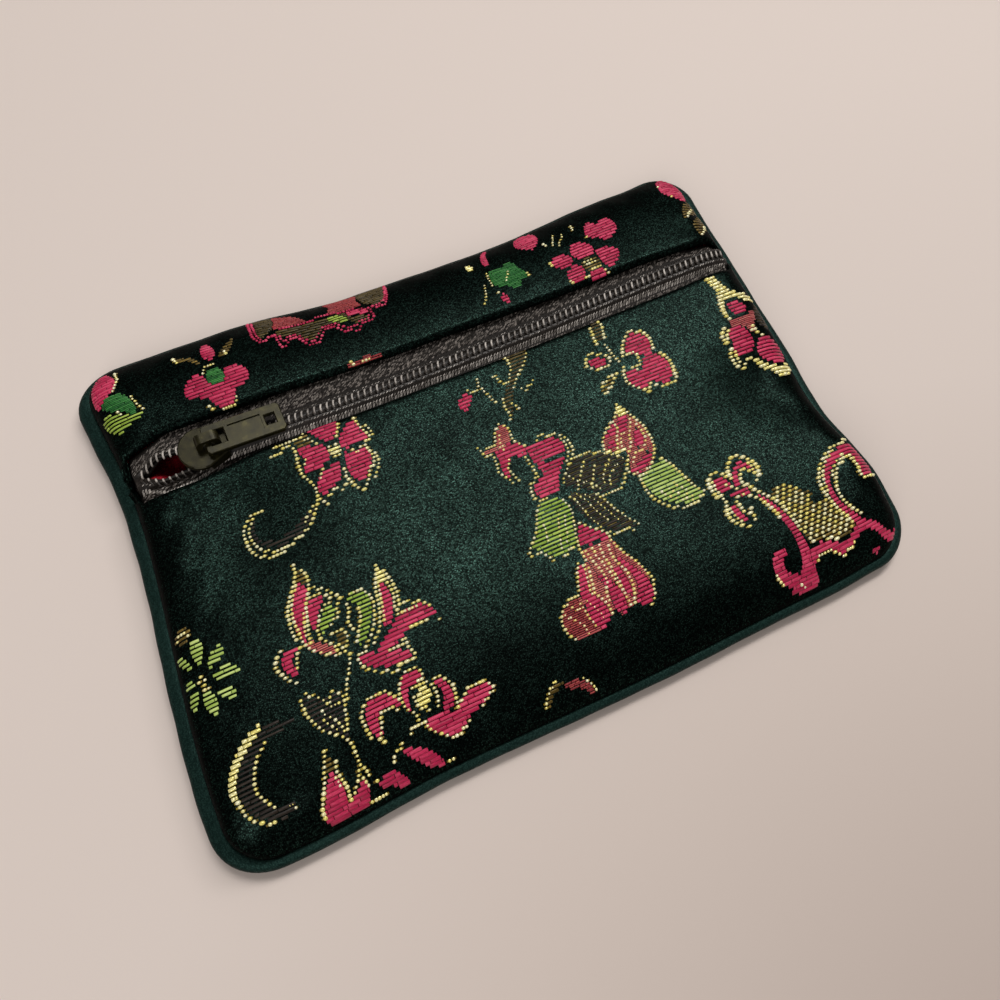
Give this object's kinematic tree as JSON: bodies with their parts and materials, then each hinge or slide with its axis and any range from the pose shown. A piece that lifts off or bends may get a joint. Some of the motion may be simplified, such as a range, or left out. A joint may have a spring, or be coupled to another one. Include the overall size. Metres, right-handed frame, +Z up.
{
  "type": "zipped coin purse",
  "caption": "Flat rectangular brocade coin purse with piped edges and a zip across the front near its top, lying on its back with the zip closed.",
  "frame": {"origin": "centre of the outline, on the surface that the purse lies on", "axes": "+X along the zip from the slider's end to the far end, +Y from the bottom edge towards the zip edge, +Z up out of the front"},
  "size_m": [0.1221, 0.0898, 0.0132],
  "materials": {
    "brocade": "dark green satin with woven pink, green and gold flowers",
    "piping_satin": "plain dark green satin over a cord",
    "lining_cloth": "plain red cloth",
    "zip_tape": "ribbed grey-brown tape",
    "zip_coil": "grey-brown nylon coil",
    "zip_metal": "olive-grey paint worn at the edges"
  },
  "bodies": {
    "purse": {"front_panel": "brocade", "front_strip": "brocade", "back_panel": "brocade", "piping": "piping_satin", "lining": "lining_cloth", "zip_tape_upper": "zip_tape", "zip_tape_lower": "zip_tape", "zip_coil_upper": "zip_coil", "zip_coil_lower": "zip_coil", "zip_slider": "zip_metal"},
    "pull": {"zip_pull": "zip_metal"}
  },
  "joints": [
    {"name": "pull_hinge", "type": "hinge", "parent": "purse", "child": "pull", "pos_m": [-0.04157, 0.01949, 0.0115], "axis": [0, -1, 0], "range_deg": [0, 180]}
  ]
}
